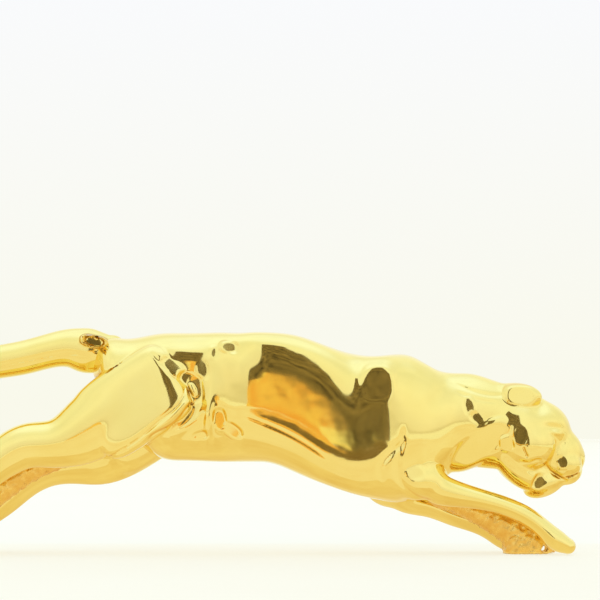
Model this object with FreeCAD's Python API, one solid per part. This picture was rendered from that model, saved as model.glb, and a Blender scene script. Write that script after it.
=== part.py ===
"""Hood ornament: a running big cat in polished brass, 202 mm from tail tip to nose.

The figure is a hollow casting in two halves that meet on the cat's middle plane. A thin film of
solder joins the halves, and five dowels hold them in line. The tail is cast on its own and its
spigot is held in the rump by a cross pin. Between the two forelegs, and between the two hind legs,
sits a rough cast bridge with a steel threaded insert that opens in the sole: the ornament is
fastened by two studs that screw into them.

Frame: +X runs from tail to head, +Z is up, and the cat's right side faces -Y. The origin is the
mouth of the rear threaded hole, on the plane that all four paws stand on. Millimetres.
"""
import FreeCAD, Part
import math
import os

from FreeCAD import Vector

# ---- Driving dimensions -------------------------------------------------------------------
WALL = 2.6                 # thickness of the hollow casting's wall
SEAM = 0.2                 # thickness of the solder film between the halves
FIT = 0.02                 # play in radius of a pin in its drilled hole
SIDE = 60.0                # more than any part of the figure reaches from the middle plane

FRONT_FIXING_X = 163.5     # front threaded hole; the rear one is at the origin
THREAD_MINOR_R = 2.1       # tapped hole for an M5 stud
INSERT_R = 3.25            # outside of the threaded insert
INSERT_LENGTH = 5.6
GROOVE_DEPTH = 0.35        # retaining grooves round the insert
GROOVE_WIDTH = 0.7
GROOVE_HEIGHTS = (1.6, 3.4)
WEB_WIDTH = 7.6            # thickness of a bridge's web, between the legs
BLOCK_WIDTH = 9.4          # thickness of a bridge's foot block, round the insert

DOWEL_R = 1.5
DOWEL_LENGTH = 12.0
BOSS_R = 3.4
SPIGOT_R = 2.4
SPIGOT_LENGTH = 9.0
TAIL_PIN_R = 1.0
TAIL_PIN_LENGTH = 13.0
DRAIN_R = 0.85             # cross hole that drains the space between the front paws
DRAIN_X, DRAIN_Z = 168.3, 1.4

SECTION_POINTS = 16        # points that each cross-section's curve is drawn through
TRUNK_POWER = 2.2          # how square the trunk's sections are; 2 is an ellipse
CAVITY_STATIONS = slice(3, 11)

# Torso, neck and head: x, height of the top, height of the underside, half width.
TRUNK = [
    (45.6, 54.0, 48.0, 3.0),
    (49.6, 57.2, 38.6, 9.8),
    (56.0, 59.0, 33.0, 14.2),
    (65.0, 60.4, 28.6, 16.4),
    (78.0, 60.8, 26.2, 15.2),
    (90.0, 60.8, 25.6, 14.4),
    (100.0, 60.0, 22.8, 15.8),
    (110.0, 56.8, 19.2, 17.0),
    (121.0, 54.4, 16.4, 16.8),
    (131.0, 54.2, 15.2, 15.2),
    (139.0, 51.0, 17.6, 12.0),
    (147.0, 49.4, 23.0, 9.2),
    (156.0, 47.4, 23.0, 9.4),
    (163.0, 46.2, 18.4, 11.2),
    (168.0, 43.4, 16.4, 11.4),
    (173.0, 38.8, 18.2, 9.8),
    (177.0, 33.0, 20.2, 7.0),
    (179.2, 28.6, 21.4, 3.6),
    (179.8, 26.6, 22.8, 1.6),
]

# Limbs and tail: x, distance of the centre line from the middle plane, z,
# radius in side view, half thickness.
RIGHT_FORELEG = [
    (129.0, 5.2, 45.0, 5.6, 5.0),
    (131.0, 8.0, 35.0, 8.0, 8.0),
    (134.0, 8.8, 24.0, 7.2, 7.2),
    (140.5, 8.6, 18.0, 4.4, 5.4),
    (148.5, 8.2, 15.4, 3.1, 4.7),
    (156.8, 7.8, 13.4, 2.8, 4.5),
    (163.0, 7.6, 10.9, 2.8, 4.5),
    (168.2, 7.6, 7.2, 3.0, 4.6),
    (172.6, 7.6, 3.6, 3.6, 4.8),
    (175.8, 7.6, 2.2, 2.6, 4.0),
    (177.0, 7.6, 1.8, 1.2, 2.2),
]
LEFT_FORELEG = [
    (125.0, 5.2, 43.0, 5.6, 5.0),
    (126.0, 8.0, 32.0, 8.0, 8.4),
    (127.6, 8.8, 20.6, 7.0, 7.2),
    (134.0, 8.6, 14.6, 4.4, 5.4),
    (142.0, 8.2, 12.2, 3.1, 4.7),
    (149.0, 7.8, 9.6, 2.8, 4.5),
    (155.0, 7.6, 6.6, 2.8, 4.5),
    (160.0, 7.6, 3.9, 3.3, 4.7),
    (165.4, 7.6, 2.2, 2.9, 4.6),
    (168.8, 7.6, 1.6, 2.0, 3.6),
    (170.0, 7.6, 1.4, 0.9, 2.0),
]
RIGHT_HIND_LEG = [
    (66.0, 6.0, 50.0, 9.0, 7.0),
    (60.5, 7.6, 45.0, 12.6, 8.8),
    (52.6, 8.8, 38.4, 11.4, 8.4),
    (44.0, 9.0, 33.4, 8.8, 7.4),
    (35.0, 8.8, 30.4, 6.6, 6.0),
    (26.0, 8.6, 28.6, 5.8, 5.2),
    (18.0, 8.2, 23.4, 4.4, 4.8),
    (9.6, 7.8, 15.0, 3.4, 4.6),
    (2.4, 7.6, 8.4, 3.1, 4.6),
    (-4.2, 7.6, 3.8, 3.5, 4.8),
    (-9.4, 7.6, 2.2, 2.6, 4.0),
    (-11.0, 7.6, 1.8, 1.2, 2.2),
]
LEFT_HIND_LEG = [
    (70.0, 6.0, 44.0, 9.0, 7.0),
    (64.0, 7.6, 40.0, 12.0, 8.8),
    (56.0, 8.8, 34.0, 10.6, 8.4),
    (47.6, 9.0, 29.6, 8.4, 7.2),
    (39.6, 8.8, 26.0, 6.2, 5.8),
    (32.6, 8.6, 23.4, 4.8, 5.0),
    (24.4, 8.2, 17.2, 3.6, 4.6),
    (16.0, 7.8, 10.8, 3.1, 4.5),
    (8.6, 7.6, 6.0, 3.1, 4.6),
    (2.0, 7.6, 3.2, 3.3, 4.7),
    (-4.6, 7.6, 2.0, 2.4, 4.0),
    (-6.2, 7.6, 1.6, 1.2, 2.2),
]
TAIL = [
    (49.6, 0.0, 55.6, 3.0, 2.8),
    (46.4, 0.0, 56.8, 5.2, 4.8),
    (42.0, 0.0, 56.8, 5.4, 4.9),
    (35.0, 0.0, 56.2, 4.8, 4.5),
    (27.0, 0.0, 54.6, 4.6, 4.3),
    (19.0, 0.0, 53.0, 4.4, 4.2),
    (8.0, 0.0, 51.0, 4.1, 3.9),
    (-3.0, 0.0, 50.2, 3.7, 3.6),
    (-12.0, 0.0, 51.4, 3.3, 3.2),
    (-18.0, 0.0, 54.0, 2.8, 2.7),
    (-21.4, 0.0, 56.8, 1.6, 1.6),
]
EAR = [
    (165.6, 6.2, 43.6, 2.4, 1.6),
    (162.0, 7.2, 45.2, 1.9, 1.1),
    (157.4, 7.6, 44.8, 0.7, 0.5),
]
SPIGOT_START = Vector(46.4, 0, 56.6)
SPIGOT_RUN = Vector(11.5, 0, -5.0)
TAIL_PIN_X, TAIL_PIN_Z = 55.6, 52.6

# The slot between the jaws, in side view: its corner, then its open end below the nose.
MOUTH = [(169.4, 24.8), (179.0, 20.6), (175.6, 16.4), (169.2, 24.2)]

# Dowels across the seam: name, x, z.
DOWELS = [
    ("dowel_hip", 63.0, 44.0),
    ("dowel_loin", 86.0, 45.0),
    ("dowel_rib", 108.0, 36.0),
    ("dowel_shoulder", 127.0, 34.0),
    ("dowel_head", 161.0, 34.0),
]

# Bridges between the legs, in side view: the web, and the foot block that holds the insert.
FRONT_WEB = [(136.0, 17.2), (148.0, 15.0), (157.0, 13.0), (163.0, 10.6), (168.0, 7.0), (171.6, 3.6),
             (172.0, 0.0), (157.0, 0.0), (154.0, 6.8), (148.0, 9.6), (141.0, 12.0), (134.0, 14.4)]
FRONT_BLOCK = [(158.9, 0.0), (170.0, 0.0), (170.0, 5.6), (158.9, 8.2)]
REAR_WEB = [(44.0, 31.4), (35.0, 30.0), (26.6, 27.6), (18.4, 22.4), (10.0, 14.2), (3.0, 8.2),
            (-4.0, 3.8), (-7.0, 2.6), (-7.0, 0.0), (5.0, 0.0), (9.0, 5.6), (16.4, 11.0),
            (24.8, 17.4), (33.0, 23.6), (40.0, 26.6)]
REAR_BLOCK = [(-5.3, 0.0), (5.3, 0.0), (5.3, 8.6), (-5.3, 6.4)]


def section(centre, up, half_up, half_side, power=2.0):
    """A closed smooth curve: an ellipse, or squarer than one if power is above 2."""
    points = []
    for i in range(SECTION_POINTS):
        angle = 2 * math.pi * i / SECTION_POINTS
        c, s = math.cos(angle), math.sin(angle)
        u = math.copysign(abs(c) ** (2 / power), c) * half_up
        v = math.copysign(abs(s) ** (2 / power), s) * half_side
        points.append(centre + up * u + Vector(0, v, 0))
    curve = Part.BSplineCurve()
    curve.interpolate(Points=points, PeriodicFlag=True)
    return Part.Wire([curve.toShape()])


def trunk(stations, inset=0.0):
    """Torso, neck and head as one smooth solid, its surface moved in by inset."""
    wires = []
    for x, top, bottom, half_width in stations:
        centre = Vector(x, 0, (top + bottom) / 2)
        half_height = (top - bottom) / 2 - inset
        wires.append(section(centre, Vector(0, 0, 1), half_height, half_width - inset, TRUNK_POWER))
    return Part.makeLoft(wires, True, False)


def limb(stations, side=1):
    """A leg, an ear or the tail: a smooth solid through ellipses across its centre line.
    side is -1 on the cat's right and 1 on its left."""
    centres = [Vector(x, side * y, z) for x, y, z, _, _ in stations]
    wires = []
    for i, (_, _, _, radius, half_thickness) in enumerate(stations):
        before, after = centres[max(i - 1, 0)], centres[min(i + 1, len(centres) - 1)]
        run = Vector(after.x - before.x, 0, after.z - before.z).normalize()
        wires.append(section(centres[i], Vector(-run.z, 0, run.x), radius, half_thickness))
    return Part.makeLoft(wires, True, False)


def cross_cylinder(x, z, radius, length):
    """A cylinder along Y, centred on the middle plane."""
    return Part.makeCylinder(radius, length, Vector(x, -length / 2, z), Vector(0, 1, 0))


def prism(outline, width):
    """A side-view outline made solid along Y, centred on the middle plane."""
    corners = [Vector(x, -width / 2, z) for x, z in outline + outline[:1]]
    return Part.Face(Part.makePolygon(corners)).extrude(Vector(0, width, 0))


def beside_seam(side):
    """All the space on one side of the solder film."""
    low = SEAM / 2 if side > 0 else -SIDE
    return Part.makeBox(300, SIDE - SEAM / 2, 90, Vector(-60, low, 0))


def spigot(radius):
    """The round peg on the tail's root, or the hole for it."""
    return Part.makeCylinder(radius, SPIGOT_LENGTH + 3, SPIGOT_START, SPIGOT_RUN)


def bridge(web, block, fixing_x):
    """A rough cast web between two legs, with a foot block round the threaded insert."""
    foot = prism(block, BLOCK_WIDTH)
    seat = Part.makeCylinder(INSERT_R + FIT, INSERT_LENGTH, Vector(fixing_x, 0, 0))
    return prism(web, WEB_WIDTH).fuse(foot).removeSplitter().cut(seat)


def thread_insert(fixing_x):
    """A steel bush with retaining grooves and a tapped through hole."""
    mouth = Vector(fixing_x, 0, 0)
    bush = Part.makeCylinder(INSERT_R, INSERT_LENGTH, mouth)
    bush = bush.cut(Part.makeCylinder(THREAD_MINOR_R, INSERT_LENGTH, mouth))
    for height in GROOVE_HEIGHTS:
        level = Vector(fixing_x, 0, height)
        ring = Part.makeCylinder(INSERT_R + 1, GROOVE_WIDTH, level)
        bush = bush.cut(ring.cut(Part.makeCylinder(INSERT_R - GROOVE_DEPTH, GROOVE_WIDTH, level)))
    return bush


def hollow_trunk():
    """The torso, neck and head with the cavity taken out, and a boss left round each dowel."""
    cavity = trunk(TRUNK[CAVITY_STATIONS], WALL)
    for _, x, z in DOWELS:
        cavity = cavity.cut(cross_cylinder(x, z, BOSS_R, 2 * SIDE))
    return trunk(TRUNK).cut(cavity).cut(prism(MOUTH, 2 * SIDE))


def drilled(shape):
    """A casting with the holes for the dowels, the tail's spigot and its cross pin."""
    holes = [cross_cylinder(x, z, DOWEL_R + FIT, DOWEL_LENGTH + 2 * FIT) for _, x, z in DOWELS]
    holes.append(spigot(SPIGOT_R + FIT))
    holes.append(cross_cylinder(TAIL_PIN_X, TAIL_PIN_Z, TAIL_PIN_R + FIT, TAIL_PIN_LENGTH + 2 * FIT))
    for hole in holes:
        shape = shape.cut(hole)
    return shape


def half_casting(shell, legs, side, neighbours):
    """One side of the figure: its half of the hollow trunk, its two legs and its ear."""
    solid = shell
    for stations in legs:
        solid = solid.fuse(limb(stations, side))
    solid = solid.fuse(limb(EAR, side))
    solid = solid.common(beside_seam(side))
    for neighbour in neighbours:
        solid = solid.cut(neighbour)
    return drilled(solid)


def main():
    os.makedirs("parts", exist_ok=True)
    front_bridge = bridge(FRONT_WEB, FRONT_BLOCK, FRONT_FIXING_X)
    front_bridge = front_bridge.cut(cross_cylinder(DRAIN_X, DRAIN_Z, DRAIN_R, 2 * SIDE))
    rear_bridge = bridge(REAR_WEB, REAR_BLOCK, 0)
    tail_pin = cross_cylinder(TAIL_PIN_X, TAIL_PIN_Z, TAIL_PIN_R, TAIL_PIN_LENGTH)
    tail = limb(TAIL).fuse(spigot(SPIGOT_R))
    tail = tail.cut(cross_cylinder(TAIL_PIN_X, TAIL_PIN_Z, TAIL_PIN_R + FIT, TAIL_PIN_LENGTH))
    neighbours = [limb(TAIL), prism(FRONT_WEB, WEB_WIDTH), prism(FRONT_BLOCK, BLOCK_WIDTH),
                  prism(REAR_WEB, WEB_WIDTH), prism(REAR_BLOCK, BLOCK_WIDTH)]
    shell = hollow_trunk()
    film = Part.makeBox(300, SEAM, 90, Vector(-60, -SEAM / 2, 0))
    solder = shell.common(film)
    for neighbour in neighbours:
        solder = solder.cut(neighbour)
    pieces = {
        "right_half_casting": half_casting(shell, (RIGHT_FORELEG, RIGHT_HIND_LEG), -1, neighbours),
        "left_half_casting": half_casting(shell, (LEFT_FORELEG, LEFT_HIND_LEG), 1, neighbours),
        "seam_solder": drilled(solder),
        "tail_casting": tail,
        "tail_cross_pin": tail_pin,
        "front_leg_bridge": front_bridge,
        "rear_leg_bridge": rear_bridge,
        "front_thread_insert": thread_insert(FRONT_FIXING_X),
        "rear_thread_insert": thread_insert(0),
    }
    for name, x, z in DOWELS:
        pieces[name] = cross_cylinder(x, z, DOWEL_R, DOWEL_LENGTH)
    for name, shape in pieces.items():
        solids = shape.Solids
        print(name, len(solids), "solids", round(shape.Volume), "mm3", shape.isValid())
        shape = solids[0] if len(solids) == 1 else Part.makeCompound(solids)
        shape.exportStep(f"parts/{name}.step")


main()
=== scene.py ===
import math

import bmesh
import bpy
import numpy as np
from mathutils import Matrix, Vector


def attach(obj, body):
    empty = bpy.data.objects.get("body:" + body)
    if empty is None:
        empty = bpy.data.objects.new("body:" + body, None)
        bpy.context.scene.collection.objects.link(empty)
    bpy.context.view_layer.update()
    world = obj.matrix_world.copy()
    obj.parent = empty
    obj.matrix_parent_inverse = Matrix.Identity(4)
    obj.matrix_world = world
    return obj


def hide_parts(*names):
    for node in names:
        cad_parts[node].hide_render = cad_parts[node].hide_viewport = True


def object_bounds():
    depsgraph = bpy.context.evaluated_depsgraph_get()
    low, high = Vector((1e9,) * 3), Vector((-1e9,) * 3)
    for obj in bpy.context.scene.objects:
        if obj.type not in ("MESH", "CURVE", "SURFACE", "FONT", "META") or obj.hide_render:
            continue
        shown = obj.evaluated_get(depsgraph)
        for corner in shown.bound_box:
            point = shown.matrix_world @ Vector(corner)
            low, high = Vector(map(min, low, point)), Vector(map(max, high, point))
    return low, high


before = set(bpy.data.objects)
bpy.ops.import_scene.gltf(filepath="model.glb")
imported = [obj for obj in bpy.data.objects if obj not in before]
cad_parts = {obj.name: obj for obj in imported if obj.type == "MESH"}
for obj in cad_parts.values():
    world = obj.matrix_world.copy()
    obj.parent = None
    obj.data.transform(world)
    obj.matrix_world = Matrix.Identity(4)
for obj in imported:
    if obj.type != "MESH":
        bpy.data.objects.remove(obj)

import openvdb
from mathutils import Matrix, Vector

CAD_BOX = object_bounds()
CENTRE = (CAD_BOX[0] + CAD_BOX[1]) / 2
ROOM_RADIUS = 2.4

# The figure is sculpted as a distance field in millimetres, in the CAD's frame: x from tail to
# head, out from the middle plane towards the side in hand, and z up. Everything is turned into
# metres at the end.
MM = 0.001
TO_METRES = Matrix.Scale(MM, 4)
SEAM = 0.2                       # thickness of the solder film between the two halves
VOXEL = 0.5
BLOCK = 4                        # fine voxels along each side of a coarse cell
HEAD_X = 142.0                   # the mesh is twice as fine ahead of this
GROIN = (56.0, 92.0)             # and between these
REACH = 20.0                     # no side of the figure reaches further out than this
LEG_BLEND = 1.2                  # radius of the blend between a leg and the trunk
FLANK = 5.0                      # creases fade out this near to the middle plane
FACET_SQUARENESS = 2.6           # of a facet's outline: 2 is an ellipse
FACET_EDGE = 1.05                # where a facet has half faded, in its own half sizes
FACET_RIM = 0.9                  # the narrowest rim that a facet fades over

# ---- The figure's forms ---------------------------------------------------------------------

# Torso and neck: x, top, underside, half width, squareness of the upper and of the lower half.
TORSO = [
    (44.6, 55.4, 50.2, 1.6, 2.0, 2.0),
    (47.4, 58.2, 42.2, 7.6, 2.2, 2.0),
    (53.4, 58.9, 34.6, 11.6, 2.6, 2.2),
    (63.0, 60.2, 26.4, 14.0, 3.0, 2.4),
    (70.0, 60.4, 25.3, 13.9, 3.2, 2.5),
    (77.0, 60.5, 25.1, 13.6, 3.6, 2.4),
    (81.4, 60.6, 25.0, 14.5, 4.4, 2.2),
    (85.4, 60.6, 25.0, 16.1, 5.4, 2.4),
    (88.6, 60.6, 25.0, 16.5, 5.8, 2.6),
    (93.0, 60.5, 24.8, 16.6, 6.0, 3.0),
    (101.0, 59.6, 21.9, 16.7, 5.4, 3.4),
    (110.0, 56.5, 18.4, 16.8, 4.7, 4.6),
    (118.0, 54.4, 15.9, 16.8, 3.5, 4.6),
    (123.0, 54.1, 14.8, 16.8, 5.2, 3.4),
    (128.0, 54.6, 14.0, 16.5, 3.4, 2.8),
    (133.0, 53.8, 14.6, 14.6, 2.8, 2.4),
    (138.0, 50.9, 17.2, 12.4, 2.4, 2.2),
    (143.0, 49.5, 21.8, 10.4, 2.2, 2.2),
    (149.0, 49.2, 23.5, 9.2, 2.2, 2.2),
    (156.0, 47.1, 23.0, 8.4, 2.2, 2.2),
    (161.0, 45.8, 23.0, 7.0, 2.2, 2.2),
]

# Masses: x, out, z, half length, half width, half height, degrees that the nose end is
# turned down, and the radius of the blend with what is there already. Out of 0 lies on the middle
# plane. Some go on with how far they lean out per mm towards the nose and lean in per mm upwards,
# and with how square they are: 2 is an ellipsoid.
RIGHT_THIGH = [
    (57.0, 8.2, 41.5, 15.0, 7.2, 11.4, -34.0, 0.6, 0.17, 0.12, 4.8),
]
LEFT_THIGH = [
    (58.6, 8.0, 37.0, 15.0, 7.2, 11.4, -34.0, 0.6, 0.17, 0.12, 4.8),
]
RIGHT_SHOULDER = [
    (133.0, 6.2, 33.6, 10.4, 8.6, 17.6, 6.0, 3.4, -0.20, 0.04, 2.0),
    (133.6, 8.8, 20.4, 8.4, 6.2, 5.6, 10.0, 2.0, -0.12, 0.0, 2.0),
]
LEFT_SHOULDER = [
    (130.6, 6.4, 32.0, 10.4, 8.6, 17.6, 2.0, 2.4),
    (127.0, 8.8, 18.0, 7.6, 6.2, 5.8, 10.0, 2.0),
]
HEAD = [
    (161.0, 0.0, 34.9, 10.8, 9.4, 10.3, 12.0, 3.0, 0.06, 0.15, 2.0),      # cranium
    (168.7, 0.0, 34.4, 7.9, 7.4, 6.8, 44.0, 2.4),        # forehead
    (172.5, 0.0, 26.9, 7.0, 5.9, 7.4, 10.0, 2.4),        # bridge and muzzle
    (174.8, 0.0, 22.7, 4.4, 4.6, 4.0, -8.0, 1.2),        # upper lip
    (174.4, 3.0, 24.4, 4.2, 3.2, 3.8, 12.0, 1.0),        # whisker pad
    (178.1, 0.0, 26.2, 1.9, 2.6, 3.2, 0.0, 0.8),         # nose
    (164.2, 5.2, 29.8, 7.0, 4.8, 6.6, 10.0, 1.6),        # cheek
    (161.0, 3.4, 42.8, 7.0, 3.8, 3.9, 4.0, 1.6, 0.20, 0.0, 2.0),         # ear, laid back
    (160.9, 2.6, 23.7, 8.6, 4.9, 4.2, 44.0, 1.8),        # jaw
    (166.0, 0.0, 22.4, 5.0, 5.2, 3.4, 20.0, 1.2),        # corner of the mouth
    (168.8, 0.0, 19.2, 6.2, 4.9, 3.6, -24.0, 1.4),       # chin
]

# Facets: x, out and z of the middle, half length, half height, degrees that the nose end is turned
# down, and how far the facet leans out per mm towards the nose and in per mm upwards.
FACETS = [
    (67.4, 14.1, 51.0, 3.2, 1.7, 34.0, -0.12, 0.35),      # fold before the hip
    (75.4, 13.2, 50.2, 1.7, 2.6, -6.0, 0.03, 0.04),
    (72.2, 12.9, 47.6, 3.0, 1.6, 20.0, -0.05, 0.02),
    (73.6, 12.85, 44.8, 1.9, 3.2, -10.0, 0.02, 0.02),
    (78.4, 13.0, 54.7, 1.1, 1.6, 0.0, 0.03, 0.30),
    (82.6, 13.7, 56.2, 2.4, 1.5, 10.0, 0.03, 0.36),
    (80.2, 13.45, 36.4, 1.6, 3.0, -6.0, 0.03, 0.0),       # pockets of the groin
    (83.6, 13.5, 33.6, 2.6, 1.7, 36.0, 0.04, -0.08),
    (74.8, 11.65, 32.2, 1.9, 1.2, -20.0, 0.02, -0.12),
    (150.6, 7.7, 29.8, 8.4, 3.6, -40.0, -0.06, -0.33),     # ruff
    (147.8, 9.0, 40.2, 1.5, 2.5, -10.0, 0.01, 0.14),      # hollow of the neck
    (150.0, 9.0, 36.9, 2.2, 1.3, 38.0, 0.02, 0.03),
    (161.6, 9.6, 32.2, 1.9, 2.7, 14.0, 0.12, 0.06),       # pit behind the cheek
    (157.8, 8.5, 30.2, 1.7, 2.0, -10.0, 0.14, -0.20),
    (173.2, 6.0, 24.9, 1.3, 1.6, -10.0, 0.14, 0.12),      # pit of the muzzle
    (166.9, 4.75, 19.5, 1.7, 2.1, 30.0, 0.05, 0.02),      # pit of the chin
    (161.6, 7.15, 43.2, 4.0, 2.6, 5.0, -0.05, 0.14),      # flat of the ear
    (132.6, 14.75, 22.4, 2.4, 1.8, 0.0, -0.16, 0.10),     # upper foreleg
    (122.8, 16.25, 46.4, 4.2, 4.6, 0.0, 0.02, 0.11),      # behind the shoulder blade
]
TAIL_FACETS = [
    (45.6, 4.4, 58.0, 3.2, 1.4, 12.0, -0.08, 0.10),
]

# A leaf of metal that stands in the fold before the hip. It is given like a mass.
LEAVES = [
    (72.8, 12.5, 44.8, 1.0, 0.9, 2.2, -25.0, 0.3),
]

# Limbs and tail: x, out, z, radius in side view, half thickness.
RIGHT_FORELEG = [
    (132.6, 8.4, 25.8, 6.0, 5.6),
    (138.1, 8.4, 18.6, 4.6, 4.8),
    (144.1, 8.2, 16.5, 3.6, 4.2),
    (150.6, 8.0, 15.1, 2.9, 3.9),
    (158.6, 7.8, 12.7, 2.6, 3.8),
    (164.1, 7.6, 9.9, 2.6, 3.8),
    (168.3, 7.6, 6.6, 2.6, 3.9),
    (171.9, 7.6, 3.6, 2.8, 4.1),
    (174.3, 7.6, 2.4, 2.2, 3.5),
]
LEFT_FORELEG = [
    (126.0, 8.4, 21.6, 6.0, 5.6),
    (131.0, 8.4, 15.0, 4.2, 4.8),
    (137.4, 8.2, 12.9, 3.4, 4.2),
    (144.4, 8.0, 10.2, 3.1, 3.9),
    (149.8, 7.8, 8.3, 2.9, 3.8),
    (154.4, 7.6, 6.1, 2.8, 3.8),
    (158.8, 7.6, 3.4, 2.9, 4.0),
    (164.0, 7.6, 2.4, 2.8, 4.1),
    (167.2, 7.6, 2.1, 2.0, 3.3),
]
RIGHT_HIND_LEG = [
    (56.5, 8.2, 41.5, 11.2, 6.2),
    (48.8, 8.4, 36.9, 9.9, 6.4),
    (41.6, 8.6, 32.4, 8.4, 6.2),
    (34.8, 8.8, 30.1, 6.6, 5.8),
    (28.2, 8.6, 29.6, 6.15, 5.2),
    (22.4, 8.4, 26.9, 5.7, 4.8),
    (16.4, 8.2, 21.4, 4.4, 4.4),
    (9.4, 7.8, 14.4, 3.4, 4.1),
    (3.0, 7.6, 8.3, 3.1, 4.1),
    (-3.4, 7.6, 3.9, 3.3, 4.3),
    (-8.0, 7.6, 2.4, 2.4, 3.6),
]
LEFT_HIND_LEG = [
    (60.0, 8.2, 36.4, 10.8, 6.2),
    (52.4, 8.4, 30.3, 9.6, 6.4),
    (45.4, 8.6, 26.4, 8.2, 6.2),
    (38.8, 8.8, 24.6, 6.1, 5.8),
    (32.4, 8.6, 22.9, 4.9, 5.2),
    (26.4, 8.4, 19.6, 4.3, 4.8),
    (20.2, 8.2, 13.9, 3.6, 4.4),
    (13.6, 7.8, 9.0, 3.1, 4.1),
    (7.4, 7.6, 5.4, 3.0, 4.1),
    (1.6, 7.6, 3.3, 3.2, 4.3),
    (-2.8, 7.6, 2.4, 2.3, 3.6),
]
TAIL = [
    (50.0, 0.0, 55.7, 4.2, 3.8),
    (46.5, 0.0, 55.4, 5.7, 4.8),
    (43.0, 0.0, 55.6, 6.2, 5.0),
    (39.0, 0.0, 56.2, 5.5, 4.8),
    (33.0, 0.0, 55.5, 4.8, 4.5),
    (26.0, 0.0, 53.7, 4.7, 4.3),
    (19.2, 0.0, 52.5, 4.6, 4.2),
    (8.0, 0.0, 50.6, 4.2, 3.9),
    (-3.0, 0.0, 49.8, 3.7, 3.6),
    (-12.0, 0.0, 51.0, 3.3, 3.2),
    (-18.0, 0.0, 53.6, 2.6, 2.5),
    (-20.4, 0.0, 55.4, 1.6, 1.6),
]
FRONT_WEB = [
    (139.0, 0.0, 15.0, 2.0, 3.8),
    (146.0, 0.0, 13.0, 2.8, 3.8),
    (153.0, 0.0, 10.2, 3.6, 4.0),
    (160.0, 0.0, 6.8, 4.6, 4.3),
    (166.0, 0.0, 3.8, 4.0, 4.6),
    (170.0, 0.0, 2.4, 2.4, 4.4),
]
REAR_WEB = [
    (36.0, 0.0, 25.6, 2.4, 3.8),
    (26.0, 0.0, 22.4, 3.8, 3.8),
    (16.0, 0.0, 15.0, 4.0, 3.8),
    (8.0, 0.0, 8.8, 4.2, 4.1),
    (2.0, 0.0, 4.8, 4.4, 4.5),
    (-3.4, 0.0, 3.0, 3.2, 4.4),
]
FIXINGS = (0.0, 163.5)             # x of the rear and of the front threaded hole
INSERT_BORE = (3.25, 5.7)          # radius and depth of the bore that holds a threaded insert
DRAIN = (168.3, 1.4, 0.85)         # x, z and radius of the hole that drains the front paws

# Swellings and hollows of a flank: x, z, half length, half height, degrees that the head end is
# turned down, and how far it stands proud.
SWELLS = [
    (72.0, 45.0, 5.0, 8.0, -10.0, -0.8),     # hollow before the thigh
    (70.4, 55.0, 6.0, 3.0, 12.0, 0.7),       # hip
    (78.4, 43.4, 3.0, 7.0, 0.0, 0.8),        # waist
    (77.0, 36.4, 1.3, 5.4, 4.0, 1.3),        # tapering fold down from the waist
    (85.6, 56.4, 3.4, 4.4, -30.0, -0.7),     # behind the first rib
    (138.6, 42.4, 2.2, 3.6, 30.0, -0.35),    # shoulder
    (167.0, 40.2, 1.8, 2.6, 20.0, -0.5),     # before the ear
    (171.0, 34.6, 2.2, 0.9, 8.0, -0.6),      # brow
    (171.6, 33.0, 1.3, 0.6, 14.0, 0.45),     # eye
    (173.4, 30.8, 0.8, 2.0, -8.0, -0.35),    # between eye and muzzle
    (173.0, 21.9, 1.2, 0.8, 20.0, 0.3),
]

# Creases: points x, z along the crease, its depth and its half width.
CREASES = [
    ([(62.0, 54.4), (68.0, 48.2), (70.6, 45.3), (70.6, 43.6), (68.2, 39.7), (64.1, 36.4),
      (60.5, 33.2), (55.1, 29.3), (44.0, 23.6)], 0.45, 0.5),
    ([(74.6, 42.4), (71.7, 40.2), (69.0, 36.8), (65.4, 34.3), (61.8, 32.3), (60.6, 30.4)],
     0.35, 0.45),
    ([(73.0, 42.6), (70.2, 40.4), (67.0, 37.0), (62.8, 33.9), (58.4, 31.3)], -0.35, 0.6),
    ([(76.2, 40.4), (74.0, 36.8), (70.4, 34.0), (66.6, 32.0)], -0.4, 1.0),
    ([(129.6, 34.4), (128.8, 29.0), (128.0, 22.4), (132.2, 16.8), (140.0, 14.4)], 0.5, 0.8),
    ([(129.4, 30.8), (126.0, 27.6), (123.4, 23.6), (124.4, 20.0)], 0.6, 0.8),
    ([(142.7, 46.9), (148.6, 44.4), (154.3, 43.2), (158.0, 43.4)], 0.22, 0.6),
    ([(144.4, 44.2), (150.0, 42.0), (155.4, 41.4)], 0.14, 0.5),
    ([(85.6, 38.2), (94.0, 35.0), (101.7, 31.2), (108.0, 27.0), (114.0, 23.0), (121.0, 21.4)],
     0.16, 0.5),
    ([(168.7, 24.5), (170.0, 22.8), (172.3, 21.1), (175.0, 20.0)], 0.5, 0.45),
    ([(174.0, 20.9), (176.0, 21.2), (178.0, 22.1)], 0.6, 0.35),
    ([(161.2, 25.5), (164.3, 25.2), (166.2, 25.8), (168.6, 24.6)], 0.25, 0.5),
    ([(162.2, 29.6), (162.6, 28.2), (163.5, 26.3)], 0.5, 0.4),
]
TAIL_CREASES = [
    ([(47.0, 53.4), (40.0, 54.6), (33.0, 54.0), (20.0, 51.4), (6.0, 49.4), (-8.0, 49.4)],
     0.30, 0.45),
]


# ---- Distance fields ------------------------------------------------------------------------

def smooth_line(stations, count):
    """count rows along a natural cubic spline through the stations, evenly spaced by its chords."""
    v = np.asarray(stations, float)
    reach = v[:, [0, -1]] if v.shape[1] == 2 else v[:, :3]
    t = np.concatenate([[0.0], np.cumsum(np.linalg.norm(np.diff(reach, axis=0), axis=1))])
    return spline(t, v, np.linspace(0.0, t[-1], count))


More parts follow.
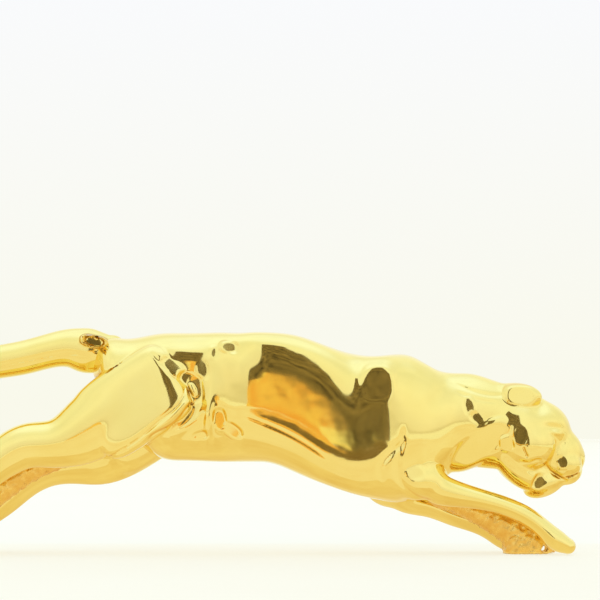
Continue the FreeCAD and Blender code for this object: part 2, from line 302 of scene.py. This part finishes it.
def spline(t, v, at):
    """A natural cubic spline through the rows v at the knots t, read at each of at."""
    n, h = len(t), np.diff(t)
    a, b = np.eye(n), np.zeros_like(v)
    for i in range(1, n - 1):
        a[i, i - 1:i + 2] = h[i - 1], 2 * (h[i - 1] + h[i]), h[i]
        b[i] = 6 * ((v[i + 1] - v[i]) / h[i] - (v[i] - v[i - 1]) / h[i - 1])
    m = np.linalg.solve(a, b)
    i = np.clip(np.searchsorted(t, at, side="right") - 1, 0, n - 2)
    w = (at - t[i])[:, None]
    k = h[i][:, None]
    u = k - w
    return ((m[i] * u ** 3 + m[i + 1] * w ** 3) / (6 * k)
            + (v[i] / k - m[i] * k / 6) * u + (v[i + 1] / k - m[i + 1] * k / 6) * w)


def join(a, b, radius):
    """Smooth union of two fields."""
    h = np.maximum(radius - np.abs(a - b), 0.0) / radius
    return np.minimum(a, b) - h ** 3 * radius / 6


def carve(a, b, radius):
    """Field a with b taken out of it, smoothly."""
    return -join(-a, b, radius)


def torso(p, rows=np.array(TORSO)):
    """The trunk and neck. A cross section is a squared ellipse, squarer above or below."""
    at = np.linspace(rows[0, 0], rows[-1, 0], 800)
    table = spline(rows[:, 0], rows, at)
    x = np.clip(p[:, 0], at[0], at[-1])
    top, low, half, square_up, square_down = (np.interp(x, at, table[:, i]) for i in range(1, 6))
    rise = (p[:, 2] - (top + low) / 2) / ((top - low) / 2)
    side = np.abs(p[:, 1]) / half
    blend = np.clip(rise * 2 + 0.5, 0, 1)
    power = square_down + (square_up - square_down) * blend * blend * (3 - 2 * blend)
    g = np.maximum(np.abs(rise) ** power + side ** power, 1e-6) ** (1 / power)
    away = np.hypot(p[:, 1], p[:, 2] - (top + low) / 2)
    inside = away * (1 - 1 / g)
    past = p[:, 0] - x
    return np.where(past == 0, inside, np.hypot(np.maximum(inside, 0), past))


def mass(p, form):
    """A rounded form turned in side view, which may lean and tilt."""
    x, out, z, length, width, height, turn, _, *facing = form
    lean, tilt, square = facing or (0.0, 0.0, 2.0)
    c, s = math.cos(math.radians(turn)), math.sin(math.radians(turn))
    dx, dz = p[:, 0] - x, p[:, 2] - z
    q = np.stack([dx * c - dz * s, p[:, 1] - out - lean * dx + tilt * dz, dx * s + dz * c], 1)
    size = np.array([length, width, height])
    r = np.maximum(np.abs(q) / size, 1e-6)
    g = (r ** square).sum(1) ** (1 / square)
    rate = np.linalg.norm((r / g[:, None]) ** (square - 1) / size, axis=1)
    return (g - 1) / rate


def facet(p, field, form):
    """A field with a small flat facet blended in. The facet's plane leans and tilts."""
    x, out, z, length, height, turn, lean, tilt = form
    c, s = math.cos(math.radians(turn)), math.sin(math.radians(turn))
    dx, dz = p[:, 0] - x, p[:, 2] - z
    along, across = (dx * c - dz * s) / length, (dx * s + dz * c) / height
    power = FACET_SQUARENESS
    g = (np.abs(along) ** power + np.abs(across) ** power) ** (1 / power)
    small = min(length, height)
    soft = np.clip(0.5 + (FACET_EDGE - g) * small / max(FACET_RIM, 0.5 * small), 0, 1)
    plane = p[:, 1] - out - lean * dx + tilt * dz
    return field + (plane - field) * soft * soft * (3 - 2 * soft)


def faceted(p, field, facets):
    """A field with each of the facets blended in, in turn."""
    for form in facets:
        rows = near(p, form, max(form[3:5]), 3.0)
        field[rows] = facet(p[rows], field[rows], form)
    return field


def near(p, form, size, room=6.0):
    """The rows of p that a form of this size can change."""
    away = np.abs(p - np.array(form[:3]))
    size += room
    return np.flatnonzero((away[:, 0] < size) & (away[:, 2] < size))


def limb(p, stations, far=6.0, chunk=20000):
    """An ellipse swept along a smooth centre line. Points more than far from it get far."""
    line = smooth_line(stations, 14 * len(stations))
    centre, radius = line[:, :3], line[:, 3:]
    step = np.gradient(centre, axis=0)
    room = radius.max() + far
    close = np.all((p > centre.min(0) - room) & (p < centre.max(0) + room), axis=1)
    found = np.full(len(p), far, p.dtype)
    index = np.flatnonzero(close)
    for start in range(0, len(index), chunk):
        rows = index[start:start + chunk]
        q = p[rows]
        gap = (q ** 2).sum(1)[:, None] - 2 * q @ centre.T + (centre ** 2).sum(1)
        i = gap.argmin(1)
        t = i + ((q - centre[i]) * step[i]).sum(1) / (step[i] ** 2).sum(1)
        t = np.clip(t, 0, len(line) - 1)
        low = np.minimum(t.astype(int), len(line) - 2)
        w = (t - low)[:, None]
        at = line[low] * (1 - w) + line[low + 1] * w
        d = q - at[:, :3]
        g = np.sqrt((d[:, 0] ** 2 + d[:, 2] ** 2) / at[:, 3] ** 2 + (d[:, 1] / at[:, 4]) ** 2)
        found[rows] = np.minimum(np.linalg.norm(d, axis=1) * (1 - 1 / np.maximum(g, 1e-4)), far)
    return found


def swell(x, z, form):
    """How far a soft swelling stands proud at x, z."""
    cx, cz, length, height, turn, proud = form
    c, s = math.cos(math.radians(turn)), math.sin(math.radians(turn))
    dx, dz = x - cx, z - cz
    along, across = (dx * c - dz * s) / length, (dx * s + dz * c) / height
    return proud * np.exp(-(along ** 2 + across ** 2))


def crease(x, z, path, depth, width):
    """How deep a crease is at x, z. It fades at both ends."""
    line = smooth_line(path, 12 * len(path))
    room = 3 * width
    low, high = line.min(0) - room, line.max(0) + room
    rows = np.flatnonzero((x > low[0]) & (x < high[0]) & (z > low[1]) & (z < high[1]))
    found = np.zeros_like(x)
    if not len(rows):
        return found
    q = np.stack([x[rows], z[rows]], 1)
    a, run = line[:-1], np.diff(line, axis=0)
    t = np.clip(((q[:, None] - a) * run).sum(2) / (run ** 2).sum(1), 0, 1)
    gap = np.linalg.norm(q[:, None] - a - t[..., None] * run, axis=2)
    i = gap.argmin(1)
    each = np.arange(len(rows))
    along = (i + t[each, i]) / len(run)
    fade = np.clip(np.minimum(along, 1 - along) * 6 + 0.15, 0, 1)
    found[rows] = depth * fade * np.exp(-(gap[each, i] / width) ** 2)
    return found


def engrave(p, field, creases, swells=()):
    """A field with its flanks creased and swollen."""
    x, z = p[:, 0], p[:, 2]
    depth = np.zeros_like(x)
    for form in swells:
        depth -= swell(x, z, form)
    for path, deep, width in creases:
        depth += crease(x, z, path, deep, width)
    side = np.clip(np.abs(p[:, 1]) / FLANK, 0, 1)
    return field + depth * side * side * (3 - 2 * side)


def figure(p, thigh, shoulder, foreleg, hind_leg):
    """One side of the cat, without its tail. p is x, out, z."""
    field = torso(p)
    for form in thigh + shoulder + HEAD:
        rows = near(p, form, max(form[3], form[5]))
        field[rows] = join(field[rows], mass(p[rows], form), form[7])
    field = join(field, limb(p, hind_leg), LEG_BLEND)
    field = join(field, limb(p, foreleg), LEG_BLEND)
    field = faceted(p, engrave(p, field, CREASES, SWELLS), FACETS)
    for form in LEAVES:
        rows = near(p, form, form[5], 3.0)
        field[rows] = join(field[rows], mass(p[rows], form), form[7])
    return carve(field, p[:, 2], 0.6)


def tail_field(p):
    """The whole tail, both sides of it faceted."""
    field = faceted(p, engrave(p, limb(p, TAIL), TAIL_CREASES), TAIL_FACETS)
    return faceted(p * (1, -1, 1), field, TAIL_FACETS)


def grain(p, size):
    """The lumpy surface of a sand casting: three crossed waves, folded."""
    waves = np.zeros(len(p))
    for i, turn in enumerate((0.4, 1.5, 2.6)):
        along = p[:, 0] * math.cos(turn) + p[:, 2] * math.sin(turn) + 0.6 * p[:, 1]
        across = p[:, 2] * math.cos(turn) - p[:, 0] * math.sin(turn)
        waves += np.sin(along * (2.1 + 0.7 * i) + 1.3 * np.sin(across * (1.3 + 0.4 * i)))
    return waves * size / 3


def bridge(p, web, fixing_x):
    """A rough-cast web between two legs, with a foot block bored for its threaded insert."""
    block = (fixing_x, 0.0, 1.6, 6.0, 4.7, 3.8, 0.0, 1.0, 0.0, 0.0, 4.0)
    field = join(limb(p, web), mass(p, block), 1.5) + grain(p, 0.35)
    radius, depth = INSERT_BORE
    around = np.hypot(p[:, 0] - fixing_x, p[:, 1]) - radius
    field = np.maximum(field, -np.maximum(around, p[:, 2] - depth))
    x, z, radius = DRAIN
    field = np.maximum(field, radius - np.hypot(p[:, 0] - x, p[:, 2] - z))
    return carve(field, p[:, 2], 0.2)


# ---- Meshing --------------------------------------------------------------------------------

def slope(field, p, h=0.06):
    """A field and its gradient at p."""
    value = field(p)
    return value, np.stack([(field(p + step) - value) / h for step in np.eye(3) * h], 1)


def settle(field, p, rounds=2):
    """Moves points onto the surface of a field."""
    for _ in range(rounds):
        value, g = slope(field, p)
        move = g * (value / np.maximum((g ** 2).sum(1), 0.05))[:, None]
        size = np.linalg.norm(move, axis=1, keepdims=True)
        p = p - move * np.minimum(1, VOXEL / np.maximum(size, 1e-9))
    return p


def grid_points(low, counts, size):
    """The places of a regular grid, indexed by x, y and z."""
    axes = [low[i] + size * np.arange(counts[i]) for i in range(3)]
    return np.stack(np.meshgrid(*axes, indexing="ij"), -1)


def skin(field, low, high):
    """Vertices and quads of a field's surface between two corners."""
    low, high = np.array(low, float), np.array(high, float)
    coarse = VOXEL * BLOCK
    counts = np.ceil((high - low) / coarse).astype(int)
    centres = grid_points(low + (coarse - VOXEL) / 2, counts, coarse)
    rough = field(centres.reshape(-1, 3)).reshape(counts)
    values = np.repeat(np.repeat(np.repeat(rough, BLOCK, 0), BLOCK, 1), BLOCK, 2)
    cells = np.argwhere(np.abs(rough) < coarse * 1.5)
    offsets = grid_points(np.zeros(3, int), (BLOCK,) * 3, 1).reshape(-1, 3)
    index = (cells[:, None] * BLOCK + offsets).reshape(-1, 3)
    values[tuple(index.T)] = field(low + index * VOXEL)
    grid = openvdb.FloatGrid(float(coarse))
    grid.copyFromArray(values.astype(np.float32))
    points, quads = grid.convertToQuads(0.0)
    return settle(field, low + points.astype(float) * VOXEL), quads[:, ::-1]


def new_mesh(name, points, faces):
    """A mesh from arrays of points and faces."""
    mesh = bpy.data.meshes.new(name)
    mesh.from_pydata(points.tolist(), [], faces.tolist())
    mesh.update()
    return mesh


def new_piece(name, mesh, material, nodes):
    """A finished piece: smooth, in metres, riding on the one body in place of its CAD nodes."""
    piece = bpy.data.objects.new(name, mesh)
    bpy.context.scene.collection.objects.link(piece)
    mesh.materials.clear()
    mesh.materials.append(material)
    mesh.shade_smooth()
    mesh.set_sharp_from_angle(angle=math.radians(50))
    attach(piece, "root")
    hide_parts(*nodes)


def coordinates(mesh):
    """The places of a mesh's vertices, one per row."""
    co = np.empty(len(mesh.vertices) * 3)
    mesh.vertices.foreach_get("co", co)
    return co.reshape(-1, 3)


def half_mesh(name, field, side):
    """One half casting: the surface on its side of the seam, closed by a flat face at the film."""
    low, high = (-16.0, -2 * VOXEL, -1.0), (183.0, REACH, 64.0)
    points, quads = skin(field, low, high)
    mesh = new_mesh(name, points, quads)
    bm = bmesh.new()
    bm.from_mesh(mesh)
    fine = [e for e in bm.edges
            if all(v.co.x > HEAD_X or GROIN[0] < v.co.x < GROIN[1] for v in e.verts)]
    bmesh.ops.subdivide_edges(bm, edges=fine, cuts=1, use_grid_fill=True)
    bm.verts.ensure_lookup_table()
    co = settle(field, np.array([v.co for v in bm.verts]), 1)
    for v, place in zip(bm.verts, co):
        v.co = place
    geometry = bm.verts[:] + bm.edges[:] + bm.faces[:]
    cut = bmesh.ops.bisect_plane(bm, geom=geometry, plane_co=(0, SEAM / 2, 0),
                                 plane_no=(0, -1, 0), clear_outer=True)
    rim = [e for e in cut["geom_cut"] if isinstance(e, bmesh.types.BMEdge)]
    bmesh.ops.holes_fill(bm, edges=rim, sides=0)
    bmesh.ops.triangulate(bm, faces=[f for f in bm.faces if len(f.verts) > 4])
    bmesh.ops.dissolve_degenerate(bm, dist=1e-4, edges=bm.edges)
    if side < 0:
        new_film(bm)
        bmesh.ops.scale(bm, vec=(1, -1, 1), verts=bm.verts)
        bmesh.ops.reverse_faces(bm, faces=bm.faces)
    bm.to_mesh(mesh)
    bm.free()
    mark_hollows(mesh, field, side)
    mesh.transform(TO_METRES)
    return mesh


def new_film(half):
    """The solder between the halves: the half's flat face, as thick as the seam."""
    bm = half.copy()
    off = [f for f in bm.faces if any(abs(v.co.y - SEAM / 2) > 1e-4 for v in f.verts)]
    bmesh.ops.delete(bm, geom=off, context="FACES")
    top = bmesh.ops.extrude_face_region(bm, geom=bm.faces[:])["geom"]
    moved = [v for v in top if isinstance(v, bmesh.types.BMVert)]
    bmesh.ops.translate(bm, vec=(0, -SEAM, 0), verts=moved)
    bmesh.ops.recalc_face_normals(bm, faces=bm.faces)
    mesh = bpy.data.meshes.new("seam")
    bm.to_mesh(mesh)
    bm.free()
    mesh.transform(TO_METRES)
    brazing = plain_metal("seam_solder", (0.90, 0.70, 0.30), 0.12, 700.0)
    new_piece("seam", mesh, brazing, ["seam_solder"])


def mark_hollows(mesh, field, side, reach=0.9):
    """A point attribute that is 0 on open surface and rises to 1 deep in a crease, where the
    polishing wheel doesn't reach.
    The brass takes tarnish along it and, deepest, painted shade."""
    p = coordinates(mesh) * (1, side, 1)
    g = slope(field, p)[1]
    n = g / np.maximum(np.linalg.norm(g, axis=1, keepdims=True), 1e-6)
    shut = 1 - field(p + n * reach) / (reach * np.linalg.norm(g, axis=1))
    layer = mesh.attributes.new("hollow", "FLOAT", "POINT")
    layer.data.foreach_set("value", np.clip(shut * 1.4, 0, 1))


# ---- Materials ------------------------------------------------------------------------------

def new_material(name, **sockets):
    """A material with these values on its shader, and what is needed to build on it."""
    material = bpy.data.materials.new(name)
    material.use_nodes = True
    shader = material.node_tree.nodes["Principled BSDF"]
    for socket, value in sockets.items():
        shader.inputs[socket.replace("_", " ")].default_value = value
    return material, material.node_tree.nodes, material.node_tree.links, shader


def noise(nodes, links, coords, scale, detail=3.0, roughness=0.5):
    """Cloudy noise from 0 to 1."""
    node = nodes.new("ShaderNodeTexNoise")
    node.inputs["Scale"].default_value = scale
    node.inputs["Detail"].default_value = detail
    node.inputs["Roughness"].default_value = roughness
    links.new(coords, node.inputs["Vector"])
    return node.outputs["Fac"]


def remap(nodes, links, value, low, high, to_low=0.0, to_high=1.0):
    """A value stretched from one range to another, and held inside it."""
    node = nodes.new("ShaderNodeMapRange")
    sockets = ("From Min", "From Max", "To Min", "To Max")
    for socket, number in zip(sockets, (low, high, to_low, to_high)):
        node.inputs[socket].default_value = number
    links.new(value, node.inputs["Value"])
    return node.outputs["Result"]


def mix_colour(nodes, links, factor, a, b):
    """A colour between a and b, each a colour or another node's output."""
    node = nodes.new("ShaderNodeMix")
    node.data_type = "RGBA"
    links.new(factor, node.inputs["Factor"])
    for socket, colour in zip((node.inputs["A"], node.inputs["B"]), (a, b)):
        if isinstance(colour, tuple):
            socket.default_value = (*colour, 1)
        else:
            links.new(colour, socket)
    return node.outputs["Result"]


def polished_brass():
    """Buffed brass: pale gold, faintly wavy, with orange-brown tarnish left in the hollows and
    painted shade, dark brown, deepest in the creases.
    """
    material, nodes, links, shader = new_material("polished_brass", Metallic=1.0)
    coords = nodes.new("ShaderNodeTexCoord").outputs["Object"]
    hollow = nodes.new("ShaderNodeAttribute")
    hollow.attribute_name = "hollow"
    cloud = remap(nodes, links, noise(nodes, links, coords, 45.0, 5.0, 0.6), 0.3, 0.7)
    base = mix_colour(nodes, links, cloud, (0.96, 0.80, 0.285), (0.935, 0.755, 0.235))
    # Orange-brown tarnish in the hollows.
    base = mix_colour(nodes, links, remap(nodes, links, hollow.outputs["Fac"], 0.3, 0.7), base,
                      (0.86, 0.55, 0.12))
    # Painted shade: dark brown deepest in the creases.
    base = mix_colour(nodes, links, remap(nodes, links, hollow.outputs["Fac"], 0.85, 1.0), base,
                      (0.42, 0.28, 0.08))
    links.new(base, shader.inputs["Base Color"])
    smear = noise(nodes, links, coords, 110.0, 8.0, 0.65)
    links.new(remap(nodes, links, smear, 0.35, 0.75, 0.05, 0.11), shader.inputs["Roughness"])
    wave = nodes.new("ShaderNodeBump")
    wave.inputs["Strength"].default_value = 0.12
    wave.inputs["Distance"].default_value = 0.0004
    links.new(noise(nodes, links, coords, 170.0, 1.0), wave.inputs["Height"])
    links.new(wave.outputs["Normal"], shader.inputs["Normal"])
    return material


def rough_brass():
    """Brass as it left the mould: grainy, duller and more orange."""
    material, nodes, links, shader = new_material("rough_cast_brass", Metallic=1.0)
    coords = nodes.new("ShaderNodeTexCoord").outputs["Object"]
    cloud = remap(nodes, links, noise(nodes, links, coords, 320.0, 5.0, 0.6), 0.35, 0.7)
    base = mix_colour(nodes, links, cloud, (0.95, 0.68, 0.20), (0.84, 0.50, 0.11))
    links.new(base, shader.inputs["Base Color"])
    links.new(remap(nodes, links, cloud, 0, 1, 0.22, 0.42), shader.inputs["Roughness"])
    bump = nodes.new("ShaderNodeBump")
    bump.inputs["Strength"].default_value = 0.6
    bump.inputs["Distance"].default_value = 0.0003
    links.new(noise(nodes, links, coords, 1500.0, 4.0), bump.inputs["Height"])
    links.new(bump.outputs["Normal"], shader.inputs["Normal"])
    return material


def plain_metal(name, colour, roughness, grain):
    """A machined metal with slight variation in colour and gloss."""
    material, nodes, links, shader = new_material(name, Metallic=1.0)
    coords = nodes.new("ShaderNodeTexCoord").outputs["Object"]
    cloud = noise(nodes, links, coords, grain, 4.0)
    darker = tuple(c * 0.85 for c in colour)
    links.new(mix_colour(nodes, links, cloud, colour, darker), shader.inputs["Base Color"])
    gloss = remap(nodes, links, cloud, 0.3, 0.7, roughness, roughness * 1.5)
    links.new(gloss, shader.inputs["Roughness"])
    return material


# ---- Pieces ---------------------------------------------------------------------------------

def full_mesh(name, field, low, high):
    """A piece that isn't split, in metres."""
    points, quads = skin(field, low, high)
    mesh = new_mesh(name, points, quads)
    mark_hollows(mesh, field, 1)
    mesh.transform(TO_METRES)
    return mesh


def build_figure():
    """The two halves, the film between them, the tail and the two rough-cast bridges."""
    brass = polished_brass()
    sides = {
        "right_half": (-1, RIGHT_THIGH, RIGHT_SHOULDER, RIGHT_FORELEG, RIGHT_HIND_LEG),
        "left_half": (1, LEFT_THIGH, LEFT_SHOULDER, LEFT_FORELEG, LEFT_HIND_LEG),
    }
    for name, (side, *forms) in sides.items():
        mesh = half_mesh(name, lambda p: figure(p, *forms), side)
        new_piece(name, mesh, brass, [name + "_casting"])
    mesh = full_mesh("tail", tail_field, (-25.0, -8.0, 44.0), (54.0, 8.0, 66.0))
    new_piece("tail", mesh, brass, ["tail_casting"])
    rough = rough_brass()
    bridges = (
        ("rear", REAR_WEB, FIXINGS[0], (-8.0, -6.0, -1.0), (40.0, 6.0, 29.0)),
        ("front", FRONT_WEB, FIXINGS[1], (136.0, -6.0, -1.0), (174.0, 6.0, 18.0)),
    )
    for end, web, x, low, high in bridges:
        mesh = full_mesh(end + "_bridge", lambda p: bridge(p, web, x), low, high)
        new_piece(end + "_bridge", mesh, rough, [end + "_leg_bridge"])


def dress_cad_nodes():
    """The inserts, dowels and tail pin keep their CAD shapes."""
    steel = plain_metal("machined_steel", (0.62, 0.62, 0.60), 0.25, 900.0)
    brass = plain_metal("drawn_brass", (0.88, 0.68, 0.30), 0.25, 900.0)
    for name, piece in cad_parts.items():
        for slot in piece.material_slots:
            slot.material = brass if name == "tail_cross_pin" else steel


# ---- Stage ----------------------------------------------------------------------------------

RECTANGLE, ROUND = 4, 40           # sides of a card


def sheet(name, centre, size, turn, material, sides=RECTANGLE):
    """A flat card: a rectangle, or a round one when it has more sides."""
    mesh = bpy.data.meshes.new(name)
    reach = math.sqrt(0.5) if sides == RECTANGLE else 0.5
    turns = [2 * math.pi * (i + 0.5) / sides for i in range(sides)]
    corners = [(size[0] * reach * math.cos(a), size[1] * reach * math.sin(a), 0) for a in turns]
    mesh.from_pydata(corners, [], [tuple(range(sides))])
    mesh.materials.append(material)
    card = bpy.data.objects.new(name, mesh)
    card.location = centre
    card.rotation_euler = [math.radians(a) for a in turn]
    bpy.context.scene.collection.objects.link(card)
    return card


def glow(name, colour):
    """A light-giving material, in one colour."""
    material = bpy.data.materials.new(name)
    material.use_nodes = True
    nodes, links = material.node_tree.nodes, material.node_tree.links
    nodes.clear()
    shader = nodes.new("ShaderNodeEmission")
    shader.inputs["Color"].default_value = (*colour, 1)
    links.new(shader.outputs[0], nodes.new("ShaderNodeOutputMaterial").inputs["Surface"])
    return material, nodes, links, shader


def hide_from_camera(card, lights=False):
    """Leaves a card to be mirrored only, or to light matt surfaces too."""
    card.visible_camera = card.visible_shadow = False
    card.visible_diffuse = lights


def build_room():
    """A bright dome round the object, which the camera looks through: the metal mirrors it."""
    material, nodes, links, shader = glow("room", (1, 1, 1))
    coords = nodes.new("ShaderNodeTexCoord").outputs["Object"]
    height = nodes.new("ShaderNodeSeparateXYZ")
    links.new(coords, height.inputs["Vector"])
    ramp = nodes.new("ShaderNodeValToRGB")
    links.new(remap(nodes, links, height.outputs["Z"], -1, 1), ramp.inputs["Fac"])
    stops = ((0.0, 0.95, 0.93, 0.86), (0.485, 0.92, 0.90, 0.80), (0.500, 0.78, 0.74, 0.62),
             (0.515, 0.94, 0.92, 0.84), (0.56, 0.97, 0.97, 0.92), (0.70, 1.0, 1.05, 1.04),
             (0.86, 0.98, 1.06, 1.08), (0.90, 1.0, 1.10, 1.20), (0.93, 1.04, 1.18, 1.42),
             (0.97, 1.07, 1.25, 1.62), (1.0, 1.07, 1.25, 1.62))
    for _ in stops[2:]:
        ramp.color_ramp.elements.new(0.5)
    for element, (place, *colour) in zip(ramp.color_ramp.elements, stops):
        element.position = place
        element.color = (*colour, 1)
    links.new(ramp.outputs["Color"], shader.inputs["Color"])
    unevenness = noise(nodes, links, coords, 1.8, 2.0)
    links.new(remap(nodes, links, unevenness, 0.3, 0.7, 0.93, 1.04), shader.inputs["Strength"])
    mesh = bpy.data.meshes.new("room")
    bm = bmesh.new()
    bmesh.ops.create_uvsphere(bm, u_segments=48, v_segments=24, radius=1.0)
    bm.to_mesh(mesh)
    bm.free()
    mesh.materials.append(material)
    dome = bpy.data.objects.new("room", mesh)
    dome.scale = (ROOM_RADIUS,) * 3
    dome.location = CENTRE
    bpy.context.scene.collection.objects.link(dome)
    hide_from_camera(dome, lights=True)


def patchy_glow(name, a, b, scale, stretch=(1.0, 1.0, 1.0)):
    """A light-giving material that wanders between two colours."""
    material, nodes, links, shader = glow(name, a)
    mapping = nodes.new("ShaderNodeMapping")
    mapping.inputs["Scale"].default_value = stretch
    links.new(nodes.new("ShaderNodeTexCoord").outputs["Object"], mapping.inputs["Vector"])
    cloud = noise(nodes, links, mapping.outputs["Vector"], scale, 4.0, 0.6)
    mixed = mix_colour(nodes, links, remap(nodes, links, cloud, 0.35, 0.65), a, b)
    links.new(mixed, shader.inputs["Color"])
    return material


def build_cards():
    """The dark, warm and cream shapes before the object that its flank mirrors."""
    dark = patchy_glow("dark_card", (0.045, 0.04, 0.026), (0.36, 0.27, 0.13), 10.0, (5.0, 2.6, 1.0))
    dull = patchy_glow("dull_card", (0.17, 0.12, 0.05), (0.28, 0.19, 0.08), 60.0)
    warm = patchy_glow("warm_card", (0.90, 0.36, 0.06), (1.0, 0.80, 0.27), 24.0)
    spot = patchy_glow("bright_spot", (1.0, 0.97, 0.60), (1.0, 0.84, 0.30), 60.0)
    gold = patchy_glow("gold_card", (0.94, 0.82, 0.54), (0.84, 0.66, 0.36), 30.0)
    cream = patchy_glow("cream_card", (0.98, 0.93, 0.76), (0.93, 0.82, 0.60), 7.0)
    upright, flat = (90, 0, 0), (0, 0, 0)
    cards = (
        ("dark_card", (0.103, -0.60, 0.26), (0.190, 0.66), upright, dark, RECTANGLE),
        ("warm_board", (0.050, -0.59, 0.0), (0.150, 0.125), upright, warm, ROUND),
        ("bright_spot", (0.108, -0.58, 0.012), (0.030, 0.034), upright, spot, ROUND),
        ("cream_card", (0.10, -0.27, 0.0003), (0.60, 0.64), flat, cream, RECTANGLE),
        ("gold_card", (0.10, 0.01, 0.0006), (0.60, 0.08), flat, gold, RECTANGLE),
        ("warm_card", (0.083, -0.345, 0.0006), (0.050, 0.49), flat, warm, ROUND),
        ("dark_floor", (0.129, -0.375, 0.0009), (0.042, 0.43), flat, dull, RECTANGLE),
        ("dark_strip", (0.090, -0.235, 0.0012), (0.042, 0.18), flat, dull, ROUND),
    )
    for card in cards:
        hide_from_camera(sheet(*card))


def build_stage():
    """The pale floor, the background behind it, and what the metal mirrors."""
    scene = bpy.context.scene
    scene.view_settings.view_transform = "Standard"
    world = bpy.data.worlds.new("studio")
    world.use_nodes = True
    nodes, links = world.node_tree.nodes, world.node_tree.links
    split = nodes.new("ShaderNodeSeparateXYZ")
    links.new(nodes.new("ShaderNodeTexCoord").outputs["Generated"], split.inputs["Vector"])
    height = remap(nodes, links, split.outputs["Z"], 0.0, 0.16)
    links.new(mix_colour(nodes, links, height, (0.95, 0.945, 0.83), (0.95, 0.96, 0.975)),
              nodes["Background"].inputs["Color"])
    scene.world = world
    floor, nodes, links, shader = new_material("pale_floor", Roughness=0.6)
    coords = nodes.new("ShaderNodeTexCoord").outputs["Object"]
    cloud = noise(nodes, links, coords, 8.0)
    links.new(mix_colour(nodes, links, cloud, (0.32, 0.32, 0.29), (0.30, 0.30, 0.26)),
              shader.inputs["Base Color"])
    shader.inputs["Emission Color"].default_value = (1.0, 1.0, 0.89, 1)
    shader.inputs["Emission Strength"].default_value = 0.57
    sheet("floor", (CENTRE.x, 0, 0), (5.0, 5.0), (0, 0, 0), floor)
    build_room()
    build_cards()


def build_camera():
    """A camera as high as the cat's chest, on its right side, which looks slightly upwards."""
    data = bpy.data.cameras.new("camera")
    data.sensor_width = 36.0
    camera = bpy.data.objects.new("camera", data)
    bpy.context.scene.collection.objects.link(camera)
    distance, width, height = 0.70, 0.165, 0.040
    data.lens = data.sensor_width * distance / width
    data.clip_start = 0.01
    target = Vector((0.10175, 0, 0.0695))
    camera.location = (target.x, -distance, height)
    camera.rotation_euler = (target - camera.location).to_track_quat("-Z", "Y").to_euler()
    bpy.context.scene.camera = camera


build_figure()
dress_cad_nodes()
build_stage()
build_camera()
